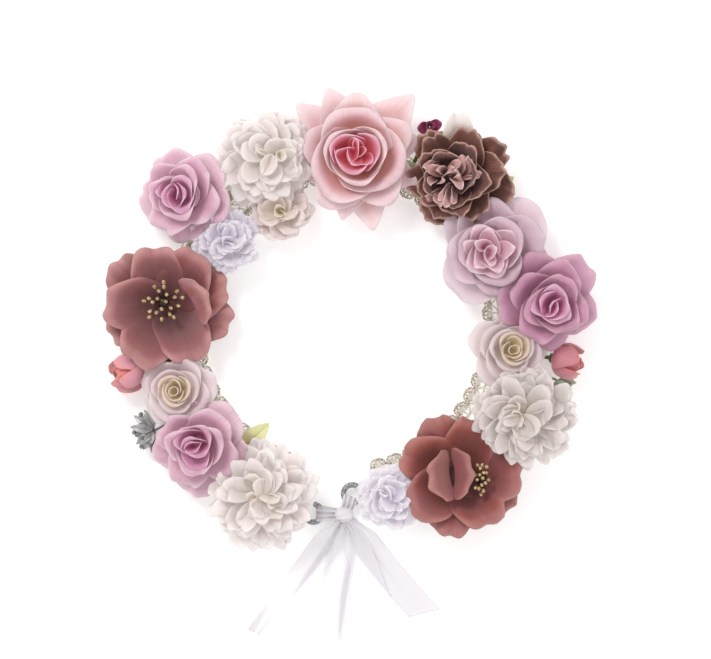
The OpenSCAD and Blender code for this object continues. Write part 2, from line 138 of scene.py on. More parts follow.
class Sock:
    def __init__(self, finish, out):
        self.finish = finish
        self.out = out

    def math(self, operation, a, b):
        return self.finish.sock("ShaderNodeMath", 0, {0: a, 1: b}, operation=operation)

    __add__ = __radd__ = operator("ADD")
    __mul__ = __rmul__ = operator("MULTIPLY")
    __sub__ = operator("SUBTRACT")
    __rsub__ = operator("SUBTRACT", flipped=True)
    __pow__ = operator("POWER")


class Finish:
    """One procedural material with a Principled shader."""

    def __init__(self, name, rough, metallic=0, sheen=0, glow=0):
        self.material = bpy.data.materials.new(name)
        self.material.use_nodes = True
        self.tree = self.material.node_tree
        self.shader = self.tree.nodes["Principled BSDF"]
        for socket, value in {"Roughness": rough, "Metallic": metallic, "Sheen Weight": sheen,
                              "Subsurface Weight": glow, "Subsurface Scale": 0.004,
                              "Subsurface Radius": (1, 0.93, 0.9)}.items():
            self.set(socket, value)

    def set(self, socket, value):
        self.shader.inputs[socket].default_value = value

    def node(self, kind, settings=None, inputs=None):
        made = self.tree.nodes.new(kind)
        for key, value in (settings or {}).items():
            setattr(made, key, value)
        for key, value in (inputs or {}).items():
            self.feed(made.inputs[key], value)
        return made

    def sock(self, kind, output, inputs, **settings):
        return Sock(self, self.node(kind, settings, inputs).outputs[output])

    def feed(self, socket, value):
        """Links an output, or sets a number or a colour written as six hex digits."""
        if isinstance(value, (Sock, bpy.types.NodeSocket)):
            self.tree.links.new(getattr(value, "out", value), socket)
        else:
            socket.default_value = tint(value) if isinstance(value, str) else value

    def colour(self, value, painted_glow=0):
        """The last number makes the surface glow a little in its own colour: painted light that stands
        in for light passing through thin cloth.
        """
        self.feed(self.shader.inputs["Base Color"], value)
        if painted_glow:
            self.feed(self.shader.inputs["Emission Color"], value)
            self.set("Emission Strength", painted_glow)

    def place(self):
        return self.node("ShaderNodeTexCoord").outputs["Object"]

    def split(self, vector):
        made = self.node("ShaderNodeSeparateXYZ", {}, {0: vector})
        return [Sock(self, o) for o in made.outputs]

    def join(self, x, y, z=0):
        return self.node("ShaderNodeCombineXYZ", {}, {0: x, 1: y, 2: z}).outputs[0]

    def petal(self):
        """Along the petal, across it, its chance number, and its place from heart to rim."""
        made = self.node("ShaderNodeAttribute", {"attribute_name": "petal"})
        along, across, chance = self.split(made.outputs["Color"])
        return along, across, chance, Sock(self, made.outputs["Alpha"])

    def noise(self, vector, scale, detail=2):
        return self.sock("ShaderNodeTexNoise", "Fac",
                         {"Vector": vector, "Scale": scale, "Detail": detail})

    def wave(self, vector, scale, distortion=0):
        return self.sock("ShaderNodeTexWave", "Fac",
                         {"Vector": vector, "Scale": scale, "Distortion": distortion})

    def step(self, value, low, high):
        """A soft step from 0 at low to 1 at high."""
        return self.sock("ShaderNodeMapRange", 0, {0: value, 1: low, 2: high, 3: 0, 4: 1},
                         interpolation_type="SMOOTHSTEP")

    def mix(self, share, a, b):
        return self.node("ShaderNodeMix", {"data_type": "RGBA"}, {0: share, 6: a, 7: b}).outputs[2]

    def bump(self, height, strength, distance=0.3 * MM):
        inputs = {"Height": height, "Strength": strength, "Distance": distance}
        self.feed(self.shader.inputs["Normal"], self.node("ShaderNodeBump", {}, inputs).outputs[0])


def tint(code):
    """A colour written as six hex digits, in the linear values that Blender works in."""
    parts = [int(code[i:i + 2], 16) / 255 for i in (0, 2, 4)]
    return (*(c / 12.92 if c <= 0.04045 else ((c + 0.055) / 1.055) ** 2.4 for c in parts), 1)


print("shader helpers ready")

# %% [markdown]
# ## The floor
# A plain white light table: paper with the faintest grain that glows a little, so that the crown's
# shadows stay faint.

# %% Floor
def fresh(add, **settings):
    """Adds one primitive and hands it back."""
    bpy.ops.object.select_all(action="DESELECT")
    add(**settings)
    return bpy.context.object


floor = fresh(bpy.ops.mesh.primitive_plane_add, size=6, location=(0, 0, -0.4 * MM))
floor.name = "floor"
paper = Finish("paper", rough=0.9)
paper.colour(paper.mix(paper.noise(paper.place(), 60), (0.9, 0.9, 0.9, 1), (0.93, 0.93, 0.93, 1)))
paper.set("Emission Color", (1, 1, 1, 1))
paper.set("Emission Strength", 0.30)
floor.data.materials.append(paper.material)
print("floor at", floor.location.z)


# %% [markdown]
# ## Silk
# Polyester silk is pale at the rim and has fine veins pressed into it; the deeper colour at each
# petal's foot is painted shade.
# Each petal carries its own numbers (along, across, chance, layer), so one finish can shade a whole
# flower from its heart to its outer petals.

# %% Silk finish
silks = {}


def silk(key, name, tints, sheen=0.25, rim_share=0.8, painted_shade_to=0.5, glow=0, vein=0.12, rim_at=0.78,
         painted_glow=0.06):
    """tints: heart, body, outer petals, foot (painted shade deep in the cup), rim and, where the dye is
    uneven, its blotches.
    """
    heart, body, outer, foot, rim, *blotch = tints.split()
    f = Finish(name, rough=0.62, sheen=sheen, glow=glow)
    along, across, chance, layer = f.petal()
    inner = f.mix(f.step(layer, 0.1, 0.5), heart, body)
    base = f.mix(f.step(layer, 0.5, 1), inner, outer)
    cloud = f.noise(f.place(), 90, 3)
    if blotch:
        base = f.mix(f.step(cloud + chance * 0.35, 0.55, 0.95), base, blotch[0])
    # Painted shade: each petal darkens towards the foot colour near its foot, where the cup is deep and
    # in shade.
    depth = 1 - f.step(along, 0, painted_shade_to)
    base = f.mix(depth * 0.85, base, foot)
    base = f.mix(f.step(along, rim_at, 1) * rim_share, base, rim)
    lines = f.noise(f.join(across * 34, along * 2.2, chance * 9), 1, 2)
    base = f.mix(f.step(lines, 0.35, 0.75) * vein, base, foot)
    # Painted light: the petal glows faintly in its own colour, for light that passes through the silk.
    f.colour(base, painted_glow)
    weave = f.noise(f.place(), 2600, 1)
    f.bump(lines * 0.8 + weave * 0.35 + cloud * 0.5, 0.35)
    silks[key] = f.material


silk("top_rose", "blush_silk", "c67c68 cd929b d9abb7 ba6f40 e9d3d9 c68a86", glow=0.3, painted_shade_to=0.92,
     rim_at=0.6, rim_share=0.78)
silk("top_heart", "coral_heart_silk", "c5576a ce6d83 d17f94 b63546 e3b8cf", rim_share=0.9,
     painted_shade_to=0.7, glow=0.5, painted_glow=0.14)
silk("blush_rose", "translucent_blush_silk", "cb9eaf cba6b6 c8abb9 c28fa2 d5c0ca c39dae", glow=0.4,
     painted_glow=0.04)
silk("blush_heart", "pink_heart_silk", "cfa4b2 d0a6b4 d0aab8 9a4465 e8d3db", painted_shade_to=0.6, glow=0.4,
     painted_glow=0.1)
silk("mocha", "mocha_silk", "653c35 6d3f38 784a3e 31140e cca295 573029", rim_share=0.9, rim_at=0.9,
     painted_shade_to=0.8, vein=0.4, painted_glow=0)
silk("mocha_heart", "dusty_heart_silk", "ad7f7c b98987 b07f7a 4a2422 e2c6c2", painted_shade_to=0.7, painted_glow=0.05)
silk("mauve", "mauve_silk", "c186a2 c998ae cfa7b8 a15376 dcbfca c592aa", glow=0.3, painted_glow=0.08)
silk("mauve_deep", "mauve_silk_deep", "ae708d b67c97 b47e99 8a456b c799ae aa708f", glow=0.25)
silk("mauve_heart", "mauve_heart_silk", "c37ea0 c687a7 cb95b1 8e3761 dab6c8", painted_shade_to=0.6, glow=0.5,
     painted_glow=0.12)
silk("cream", "cream_silk", "cebcaa cebaba cebcbf c6af94 d5c6cb ceb3ba", glow=0.5, painted_glow=0.1)
silk("cream_heart", "cream_heart_silk", "c6b392 cbb9a1 cebcaf b0996c d2b7b5", painted_shade_to=0.6, glow=0.5,
     painted_glow=0.14)
silk("white", "white_silk", "cbbfac c6bbb5 c3b8b4 c2b3a2 d4cac9 c3b3b0", glow=0.6, painted_glow=0.14,
     vein=0.06)
silk("ivory", "ivory_silk", "cfc4b1 d1c7c2 d4cac7 c9baae dcd4d4 d1c2c0", glow=0.6, painted_glow=0.16,
     vein=0.06)
silk("beige", "cream_flower_silk", "cabb9b d1c1b6 d4c3c1 b8a583 d9c6c7", glow=0.5, painted_glow=0.12)
silk("dusty_left", "dusty_silk_left", "b3757e 9f5f61 9a5e61 3c0f12 c59492 984c46", painted_shade_to=1,
     rim_at=0.7, painted_glow=0, rim_share=0.7)
silk("dusty_right", "dusty_silk_right", "a36a6a 90504f 955456 42120f b9827c 954438", painted_shade_to=0.95,
     rim_at=0.7, painted_glow=0, rim_share=0.65)
silk("lilac_light", "lilac_silk_light", "cec8d2 cec8d2 d1cad3 c4becb dad6dd c9c1cc", glow=0.6,
     painted_glow=0.2, vein=0.04)
silk("coral_deep", "coral_silk_deep", "bd5c68 c06f7c c07884 a03644 cf6a58", rim_share=0.6,
     rim_at=0.86, painted_shade_to=0.6, glow=0.3)
silk("mocha_pale", "pale_mocha_silk", "8a675c b89f96 d2c3bd 6d463b e0d6d3", rim_at=0.6, painted_shade_to=0.9,
     glow=0.4)
silk("lilac", "lilac_silk", "cac4ce cac3cf cdc5d1 beb7c4 d6d1d9 c5bcc8", glow=0.6, painted_glow=0.16,
     vein=0.05)
silk("coral", "coral_silk", "d06e7b d58894 d893a0 b03f50 e2866f", rim_share=0.7, rim_at=0.86,
     painted_shade_to=0.6, glow=0.3)
silk("magenta", "magenta_silk", "6e0a40 7d0f4a 7d0f4a 4a0529 8f2460")
print(len(silks), "silks")


# %% [markdown]
# ## One petal blank
# A real petal is die-cut from flat silk and then pressed on a hot ball tool. Here the blank is one
# flat grid. Its points are moved like clay: up a curve from the foot to the rim, round the flower's
# axis, with a rounded or pointed outline, a rolled rim and ruffles. A modelled-once blank keeps all
# petals alike in their mesh, and each copy gets its own shape.

# %% The blank and the curve it follows
def points_of(mesh):
    at = np.empty(len(mesh.vertices) * 3)
    mesh.vertices.foreach_get("co", at)
    return at.reshape(-1, 3)


def pattern(add, **settings):
    """A primitive kept off the scene to be copied, with its points as an array."""
    obj = fresh(add, **settings)
    shelf.unlink(obj)
    return obj, points_of(obj.data)


def grid_blank(columns, rows):
    """A flat blank: u runs across it from -1 to 1, v from its foot to its rim, 0 to 1."""
    obj, at = pattern(bpy.ops.mesh.primitive_grid_add, x_subdivisions=columns, y_subdivisions=rows,
                      size=2, calc_uvs=False)
    return {"obj": obj, "u": at[:, 0], "v": (at[:, 1] + 1) / 2}


BLANKS = {cells: grid_blank(cells, cells) for cells in (9, 14)}


def spline(keys, t):
    """Points on a smooth curve through the keys, spaced evenly by length; t runs from 0 to 1."""
    keys = np.asarray(keys, float)
    count = len(keys) - 1
    ends = np.vstack([2 * keys[0] - keys[1], keys, 2 * keys[-1] - keys[-2]])
    fine = np.linspace(0, count, 16 * count + 1)
    i = np.minimum(fine.astype(int), count - 1)
    f = (fine - i)[:, None]
    a, b, c, d = ends[i], ends[i + 1], ends[i + 2], ends[i + 3]
    curve = 0.5 * (2 * b + (c - a) * f + (2 * a - 5 * b + 4 * c - d) * f ** 2
                   + (3 * b - a - 3 * c + d) * f ** 3)
    run = np.concatenate([[0], np.cumsum(np.linalg.norm(np.diff(curve, axis=0), axis=1))])
    t = np.clip(t, 0, 1) * run[-1]
    return [np.interp(t, run, curve[:, k]) for k in range(curve.shape[1])]


def smooth(x, low, high):
    t = np.clip((x - low) / (high - low), 0, 1)
    return t * t * (3 - 2 * t)


print("blanks", {k: len(b["u"]) for k, b in BLANKS.items()})


# %% Shape one petal
def petal_points(rng, blank, keys, half, spread=1, rounding=0.35, ruffle=0, waves=2,
                 spiral=0.05, side_roll=0, fray=0, foot=0.35, power=2.4, least=0.6):
    """Points of a petal in mm. keys are (radius, height) from foot to rim; half is half its width."""
    u, v = blank["u"], blank["v"]
    phase = rng.uniform(0, 6.28, 3)
    edge = 1 - rounding * np.abs(u) ** power
    edge = edge + fray * (np.sin(u * 17 + phase[0]) + np.sin(u * 31 + phase[1]))
    r, z = spline(keys, v * edge / (1 + 2 * fray))
    wide = half * (foot + (1 - foot) * np.sin(np.pi / 2 * np.clip(v / 0.6, 0, 1)))
    rc = np.maximum(spread * r, least)
    turn = np.clip(wide * u / rc, -2.9, 2.9)
    slow, quick = np.sin(waves * np.pi * u + phase[2]), np.sin(waves * 7.1 * u + phase[0])
    wob = ruffle * v ** 2.2 * (slow + 0.4 * quick)
    curl = side_roll * np.abs(u) ** 3 * v ** 2
    x = r - rc * (1 - np.cos(turn)) + spiral * u * r + 0.6 * wob + 0.5 * curl
    return np.stack([x, rc * np.sin(turn), z + wob - curl], axis=1)


def cup_keys(rim_r, rim_z, steep, roll, foot_z):
    """Foot, belly, shoulder, rim and rolled edge of a petal: steep 1 is a cup's wall, 0 lies open."""
    mix = lambda open_, closed: open_ + (closed - open_) * steep
    return [(mix(0.02, 0.5) * rim_r, foot_z),
            (mix(0.45, 0.95) * rim_r, foot_z + mix(0.45, 0.40) * (rim_z - foot_z)),
            (mix(0.78, 1.03) * rim_r, foot_z + mix(0.85, 0.80) * (rim_z - foot_z)),
            (rim_r, rim_z),
            (rim_r + roll, rim_z - 0.35 * roll),
            (rim_r + 1.15 * roll, rim_z - 1 * roll)]


print("petal shaper ready")


# %% [markdown]
# ## From petals to a flower
# Petals are gathered in whorls round an axis that leans the way the flower faces. Each flower's
# petals are joined, rounded by one level of subdivision and given the thickness of starched silk.

# %% Place, join and finish petals
PETAL_T = 0.28


def placed(points, turn, centre, lean=(0, 0), pivot=8, tilt=(0, 0, 0)):
    """Turns a petal about the flower's axis, leans the flower, and moves it to its centre (mm)."""
    spin = Matrix.Rotation(radians(turn), 3, "Z")
    to, by = lean
    axis = Vector((-sin(radians(to)), cos(radians(to)), 0))
    bow = Matrix.Rotation(radians(by), 3, axis)
    nod = Matrix.Rotation(radians(tilt[0]), 3, "Y") @ Matrix.Rotation(radians(tilt[1]), 3, "X")
    at = points @ np.array(nod).T @ np.array(spin).T
    at = (at - [0, 0, pivot]) @ np.array(bow).T + [0, 0, pivot]
    return at + np.asarray(centre)


def shaped_copy(source, points, name, petal=None):
    """A copy with its own mesh: points in mm, and the numbers its finish reads."""
    mesh = source.data.copy()
    mesh.vertices.foreach_set("co", (points * MM).ravel())
    if petal is not None:
        mark(mesh, petal)
    obj = bpy.data.objects.new(name, mesh)
    shelf.link(obj)
    return obj


def mark(mesh, petal):
    """Stores along, across, chance and layer on every point; each is an array or one number."""
    info = np.empty((len(mesh.vertices), 4))
    for column, value in enumerate(petal):
        info[:, column] = value
    mesh.attributes.new("petal", "FLOAT_COLOR", "POINT").data.foreach_set("color", info.ravel())


class Bunch:
    """Collects shaped copies of the blanks for one piece."""

    def __init__(self, name):
        self.name = name
        self.parts = []

    def add(self, blank, points, chance=0.5, layer=0.5, along_from=0):
        petal = (along_from + (1 - along_from) * blank["v"], (blank["u"] + 1) / 2, chance, layer)
        self.parts.append(shaped_copy(blank["obj"], points, self.name, petal))

    def done(self, material, body, stands_for, thickness=PETAL_T, rounded=True):
        obj = join(self.parts, self.name)
        thicken(obj, thickness, rounded)
        return finish_piece(obj, material, body, stands_for)


def thicken(obj, thickness, rounded=True):
    if rounded:
        modify(obj, "SUBSURF", levels=1, render_levels=1)
    modify(obj, "SOLIDIFY", thickness=thickness * MM, offset=0)


def choose(*objs):
    """Selects only these, the first one active."""
    bpy.ops.object.select_all(action="DESELECT")
    for obj in objs:
        obj.select_set(True)
    bpy.context.view_layer.objects.active = objs[0]


def join(parts, name):
    choose(*parts)
    if len(parts) > 1:
        bpy.ops.object.join()
    parts[0].name = name
    return parts[0]


def modify(obj, kind, **settings):
    choose(obj)
    mod = obj.modifiers.new(kind.lower(), kind)
    for key, value in settings.items():
        setattr(mod, key, value)
    bpy.ops.object.modifier_apply(modifier=mod.name)


def finish_piece(obj, material, body, stands_for):
    obj.data.materials.clear()
    obj.data.materials.append(material)
    obj.data.polygons.foreach_set("use_smooth", [True] * len(obj.data.polygons))
    obj.data.update()
    if body:
        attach(obj, body)
    if stands_for:
        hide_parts(*stands_for)
    print(obj.name, len(obj.data.polygons), "faces")
    return obj


# %% Find where each head sits
def head_place(name, half):
    """Centre of the cup under a head, and the height of the head's underside, in mm."""
    low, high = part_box(f"{name}_petals")
    guess = np.array([(low[0] + high[0]) / 2, (low[1] + high[1]) / 2])
    at = points_of(nodes[f"calyx_cups_{half}"].data)[:, :2]
    for _ in range(4):
        near = at[np.linalg.norm(at - guess, axis=1) < 12 * MM]
        guess = (near.min(axis=0) + near.max(axis=0)) / 2
    return np.array([guess[0], guess[1], low[2]]) / MM, (high[2] - low[2]) / MM


print("top rose sits at", head_place("top_rose", "right"))


# %% Grow a whorled flower
def whorl(petals, rim_r, rim_z, steep, **options):
    """One ring: how many petals, their rim's radius and height in mm, and how steep they stand."""
    return petals, rim_r, rim_z, steep, options


WHORL_DEFAULTS = dict(roll=1.2, foot_z=1.5, lap=1.3, start=0, jitter=4, cells=9, angles=None, half=None,
                      vary=0.05, hop=0.6, layer=None, along_from=0)


def grow(bunch, rng, centre, full, whorls, lean=(0, 0), heart_shift=(0, 0), pivot=8):
    """Adds whorls of petals. The petals' turn, tilt, size and height vary by chance."""
    for count, rim_r, rim_z, steep, options in whorls:
        o = {**WHORL_DEFAULTS, **options}
        angles = o["angles"] or [o["start"] + 360 * i / count for i in range(count)]
        layer = min(rim_r / full, 1) if o["layer"] is None else o["layer"]
        drift = np.array([*heart_shift, 0]) * (1 - layer)
        for angle in angles:
            grown = 1 + rng.uniform(-o["vary"], o["vary"])
            keys = cup_keys(rim_r * grown, rim_z + rng.uniform(-o["hop"], o["hop"]), steep, o["roll"],
                            o["foot_z"])
            half = (o["half"] or o["lap"] * pi * rim_r / len(angles)) * rng.uniform(0.93, 1.07)
            shape = {k: value for k, value in options.items() if k not in WHORL_DEFAULTS}
            points = petal_points(rng, BLANKS[o["cells"]], keys, half, **shape)
            nod, sway, turn = [rng.uniform(-o["jitter"], o["jitter"]) for _ in range(3)]
            spun = placed(points, angle + turn, centre + drift, lean, pivot, (nod * 0.6, sway))
            bunch.add(BLANKS[o["cells"]], spun, rng.uniform(), layer, o["along_from"])


BODY = {"right": "band_right", "left": "band_left"}


def flower(name, half, silk_key, slot, full, whorls, heart=None, heart_key=None, heart_slot=None,
           seed=1, **way):
    """One head: its petals, and its rolled heart where it has one."""
    rng = dice(seed)
    centre, tall = head_place(name, half)
    petals = Bunch(f"{name}_silk")
    cushion = whorl(3, full * 0.42, tall * 0.45, 0, roll=0.3, foot_z=tall * 0.45 - 1, lap=1.4)
    grow(petals, rng, centre, full, [*whorls, cushion], **way)
    petals.done(silks[silk_key], BODY[half], [f"{name}_petals"])
    if heart:
        coil = Bunch(f"{name}_coil")
        grow(coil, rng, centre, full, heart, **way)
        coil.done(silks[heart_key], BODY[half], [f"{name}_heart"])


# %% [markdown]
# ## Roses
# A rose starts as a few small petals furled over each other. Round them stand steep cups, and then
# wider petals that lie more and more open, with their rims rolled back.

# %% Large blush rose
def tipped(angle, reach, half, height):
    """One broad outer petal whose rim runs out to a point."""
    return whorl(1, reach, height, 0, angles=[angle], half=half, roll=1, rounding=0.62, power=1,
                 side_roll=5, cells=14, foot_z=0.5, spread=1.15, jitter=2, vary=0)


flower(
    "top_rose", "right", "top_rose", "blush_silk", 36,
    [whorl(3, 15, 24, 0.70, roll=1.8, lap=1.2, start=150, rounding=0.4, power=1.6, ruffle=0.6,
           spiral=0.14, foot_z=9, cells=14, hop=1.2),
     whorl(3, 21.5, 20, 0.42, roll=3, lap=1.15, start=95, rounding=0.35, power=1.7, ruffle=0.9,
           spiral=0.12, foot_z=6, cells=14, hop=1.2),
     whorl(5, 28.5, 14, 0.15, roll=2.4, lap=1.1, start=20, rounding=0.55, power=1.4, ruffle=1,
           side_roll=5, cells=14, foot_z=3, vary=0.08),
     tipped(47, 42, 20, 9), tipped(115, 37.5, 18, 10), tipped(141, 41, 17, 7), tipped(334, 34, 17, 9),
     tipped(281, 39, 18, 7), tipped(256, 34, 16, 9), tipped(196, 33, 18, 8), tipped(12, 34, 16, 6)],
    [whorl(3, 3.2, 24.5, 0.7, roll=0.8, half=4, start=10, rounding=0.6, foot_z=18, power=1.3,
           jitter=12, hop=1, spiral=0.5),
     whorl(4, 6.4, 25, 0.7, roll=1.2, half=6, start=60, rounding=0.6, power=1.3, foot_z=17,
           jitter=10, hop=1.2, spiral=0.45),
     whorl(3, 10, 25.5, 0.85, roll=2, lap=1.3, start=25, rounding=0.35, power=1.6, foot_z=14,
           jitter=5, hop=1, spiral=0.2)],
    "top_heart", "coral_heart", seed=3, heart_shift=(-1.5, 0))

# %% Brown rose
flower(
    "mocha_rose", "right", "mocha", "mocha_silk", 27,
    [whorl(4, 12.5, 21, 0.7, roll=1.6, lap=1.15, start=10, ruffle=1, fray=0.02, foot_z=10,
           spiral=0.14, hop=1.8, rounding=0.45, cells=14),
     whorl(5, 17, 18, 0.45, roll=2.2, lap=1.1, start=60, ruffle=1.8, fray=0.03, foot_z=7, spiral=0.12,
           hop=2, rounding=0.45, cells=14),
     whorl(6, 22.5, 13, 0.2, roll=2.2, lap=1.1, start=5, ruffle=2, waves=3, fray=0.03, cells=14,
           foot_z=3, hop=1.5, rounding=0.4),
     whorl(7, 27, 8, 0.1, roll=2, lap=1.1, start=30, ruffle=1.8, waves=4, fray=0.035, cells=14,
           foot_z=0.5, vary=0.08)],
    [whorl(4, 3, 22, 0.7, roll=1.4, half=2.6, rounding=0.5, foot_z=15, jitter=25, hop=1.2, spiral=0.3),
     whorl(7, 6, 22, 0.6, roll=2, half=3, start=30, rounding=0.5, foot_z=14, jitter=25, hop=1.5,
           spiral=0.3, spread=0.7, ruffle=0.5),
     whorl(9, 9, 21, 0.55, roll=2.4, half=3.4, start=12, rounding=0.5, foot_z=14, jitter=22, hop=1.5,
           spiral=0.2, spread=0.6, ruffle=0.6)],
    "mocha_heart", "dusty_pink_heart", seed=5, heart_shift=(-7, -3), lean=(210, 8))

# %% Pale petal at the back of the brown rose
pale = Bunch("mocha_rose_pale_petal")
grow(pale, dice(6), head_place("mocha_rose", "right")[0], 40,
     [whorl(1, 29.5, 13, 0.1, angles=[89], half=10, roll=2, rounding=0.4, ruffle=1.2, jitter=0,
            cells=14, foot_z=3, fray=0.015)])
pale.done(silks["mocha_pale"], "band_right", [])

# %% Blush rose on the right
flower(
    "blush_rose", "right", "blush_rose", "blush_silk", 28,
    [whorl(3, 15.5, 16, 0.5, roll=2.2, lap=1.15, start=45, rounding=0.4, foot_z=7, ruffle=0.9,
           spiral=0.12, cells=14, hop=1.5),
     whorl(4, 22.5, 12, 0.2, roll=2.4, lap=1.1, start=15, rounding=0.4, cells=14, foot_z=3, ruffle=1.2,
           vary=0.08),
     whorl(4, 28.5, 7, 0, roll=1.6, lap=1.05, start=45, rounding=0.4, cells=14, foot_z=0.5,
           ruffle=1.2)],
    [whorl(3, 4.6, 22, 0.6, roll=1.2, half=5.5, start=150, rounding=0.7, power=1.2, foot_z=14,
           spiral=0.5, jitter=10, hop=1),
     whorl(5, 9.5, 20, 0.55, roll=1.8, half=7.5, start=10, rounding=0.7, power=1.2, foot_z=11, hop=1.5,
           jitter=9, spiral=0.45, cells=14),
     whorl(4, 13, 17, 0.5, roll=2.2, lap=1.05, start=30, rounding=0.55, power=1.5, foot_z=8, hop=1.5,
           jitter=8, ruffle=0.6)],
    "blush_heart", "coral_heart", seed=8, heart_shift=(-6, -1))


# %% Mauve roses, which differ only in where they face
def mauve_rose(name, half, full, tall, seed, fold_way, silk_key="mauve", **way):
    """fold_way is the direction in which the two long heart petals face each other, in degrees."""
    s = full / 24
    flower(
        name, half, silk_key, "mauve_silk", full,
        [whorl(3, 13 * s, tall - 2, 0.6, roll=2.4, lap=1.1, start=fold_way + 30, ruffle=1.3,
               foot_z=tall - 13, spiral=0.16, hop=2, cells=14, rounding=0.45, power=1.6),
         whorl(4, 18.5 * s, tall - 7, 0.3, roll=2.8, lap=1.1, start=60, ruffle=1.6, side_roll=2.5,
               foot_z=4, hop=2, cells=14, rounding=0.45, vary=0.08),
         whorl(5, 24 * s, tall - 14, 0.05, roll=2.4, lap=1.05, start=45, ruffle=1.4, side_roll=3,
               cells=14, foot_z=0.5, hop=1, vary=0.08)],
        [whorl(2, 2.4 * s, tall, 0.85, roll=0.8, half=5.5 * s, start=fold_way, rounding=0.5,
               foot_z=tall - 6, spread=3, jitter=5),
         whorl(2, 5.4 * s, tall + 0.5, 0.75, roll=1.6, half=8.5 * s, start=fold_way, rounding=0.5,
               power=1.7, foot_z=tall - 8, spiral=0.15, spread=1.8, jitter=5, hop=1.2),
         whorl(3, 9.4 * s, tall, 0.65, roll=2.2, lap=1.1, start=fold_way + 40, rounding=0.5, power=1.6,
               foot_z=tall - 10, spiral=0.15, hop=1.8, ruffle=0.9, jitter=7)],
        "mauve_heart", "mauve_heart", seed=seed, **way)


mauve_rose("mauve_rose_right", "right", 24, 24, 11, 150, "mauve_deep", heart_shift=(1.5, -2),
           lean=(300, 8))
mauve_rose("mauve_rose_left", "left", 23.5, 22, 12, 120, heart_shift=(0, 3), lean=(235, 16))
mauve_rose("mauve_rose_top_left", "left", 22, 23, 13, 10, heart_shift=(-3, 0), lean=(185, 16))


# %% Small cream roses
def cream_rose(name, half, full, tall, seed, **way):
    flower(
        name, half, "cream", "cream_silk", full,
        [whorl(3, full * 0.56, tall - 2, 0.65, roll=1.4, lap=1.25, start=20, foot_z=tall - 9,
               spiral=0.12, ruffle=0.4),
         whorl(4, full * 0.78, tall - 5, 0.35, roll=1.8, lap=1.2, start=60, ruffle=0.6, foot_z=3),
         whorl(5, full, tall - 10, 0.1, roll=1.6, lap=1.15, start=10, ruffle=0.7, foot_z=0.5)],
        [whorl(2, full * 0.13, tall, 0.9, roll=0.4, lap=1, rounding=0.2, foot_z=tall - 6),
         whorl(3, full * 0.25, tall, 0.9, roll=0.8, lap=1.2, start=60, rounding=0.3, foot_z=tall - 7,
               spiral=0.15),
         whorl(3, full * 0.40, tall, 0.8, roll=1.2, lap=1.25, start=0, rounding=0.3, foot_z=tall - 8,
               spiral=0.12)],
        "cream_heart", "cream_heart", seed=seed, **way)


cream_rose("cream_rose_right", "right", 19, 17, 21, lean=(40, 12))
cream_rose("cream_rose_left", "left", 19, 18, 22, lean=(160, 8))
print("roses grown")


# %% [markdown]
# ## Cluster blossoms and carnations
# A cluster blossom is a dome of many small round petals. A carnation is the same dome with crimped
# petals. Rings of petals climb the dome, each with plenty of chance in its turn and tilt.

# %% Domes of small petals
def dome(name, half, silk_key, slot, full, tall, rings, seed, size, crimp=0, hem=4, **way):
    """size is half a petal's width, hem the lowest ring's height; crimp crinkles the edge (mm)."""
    whorls = [whorl(3, 3.5, tall + 1.5, 0.5, roll=0.8, lap=1.1, rounding=0.4, foot_z=tall - 6, cells=9,
                    ruffle=crimp or 0.5, jitter=20, hop=1)]
    for k in range(rings):
        share = (k + 1) / rings
        rim_r = 3 + (full - 3) * sin(share * pi / 2)
        rim_z = max(tall * cos(share * pi / 2), 0) ** 0.8 * tall ** 0.2 + hem * share
        count = max(4, round(2 * pi * rim_r / (size * 1.3)))
        whorls.append(whorl(count, rim_r, rim_z, 0.5 - 0.35 * share, roll=0.9,
                            lap=size / (pi * rim_r / count), start=37 * k, rounding=0.3, power=2.8,
                            jitter=19, vary=0.1, cells=9, foot_z=max(rim_z - 6, 0.5), spread=1.15,
                            spiral=0.1, ruffle=crimp or 0.7, waves=3.5 if crimp else 1.2, foot=0.45,
                            hop=1.6))
    flower(name, half, silk_key, slot, full, whorls, seed=seed, **way)


dome("blossom_right", "right", "white", "cream_silk", 24, 19, 6, 31, 5.6, hem=13, heart_shift=(-3, 1))
dome("blossom_bottom_left", "left", "ivory", "cream_silk", 26.5, 20, 6, 32, 5.6)
dome("blossom_top_left", "left", "ivory", "cream_silk", 24, 19, 5, 33, 6.4, heart_shift=(6, 2))
dome("carnation_right", "right", "lilac_light", "lilac_silk", 15.5, 15, 5, 34, 5.8, crimp=0.9, hem=1)
dome("carnation_left", "left", "lilac", "lilac_silk", 16.5, 15, 5, 35, 5.6, crimp=1.2)
dome("cream_flower_top", "left", "beige", "cream_silk", 15, 12, 3, 36, 6, crimp=0.6)
print("domes grown")


# %% [markdown]
# ## Open dusty flowers
# Each has two rings of broad cupped petals, one or two more that stand upright inside, and a tuft
# of gold stamens on dark stalks.

# %% Gold stamens
def stamen_finish():
    f = Finish("stamen_gold", rough=0.32)
    along = f.petal()[0]
    speck = f.noise(f.place(), 900, 2)
    bead = f.mix(f.step(speck, 0.35, 0.7), "8f744a", "d8c19a")
    f.colour(f.mix(f.step(along, 0.4, 0.6), "33241a", bead))
    f.bump(speck, 0.3)
    return f.material


bead_model, bead_points = pattern(bpy.ops.mesh.primitive_uv_sphere_add, segments=10, ring_count=7,
                                  radius=1)
stalk_model, stalk_points = pattern(bpy.ops.mesh.primitive_cylinder_add, vertices=6, radius=1, depth=1)


def bead(at, radii, along=0.5, turn=np.eye(3)):
    return shaped_copy(bead_model, (bead_points * radii) @ turn.T + at, "bead", (along, 0.5, 0.5, 0.5))


def stalk(foot, tip, radius, along=0.5):
    """A thin stalk from its foot to its tip (mm), and the turn that points that way."""
    turn = np.array(Vector(tip - foot).to_track_quat("Z", "Y").to_matrix())
    shape = stalk_points * [radius, radius, np.linalg.norm(tip - foot)]
    points = shape @ turn.T + (foot + tip) / 2
    return shaped_copy(stalk_model, points, "stalk", (along, 0.5, 0.5, 0.5)), turn


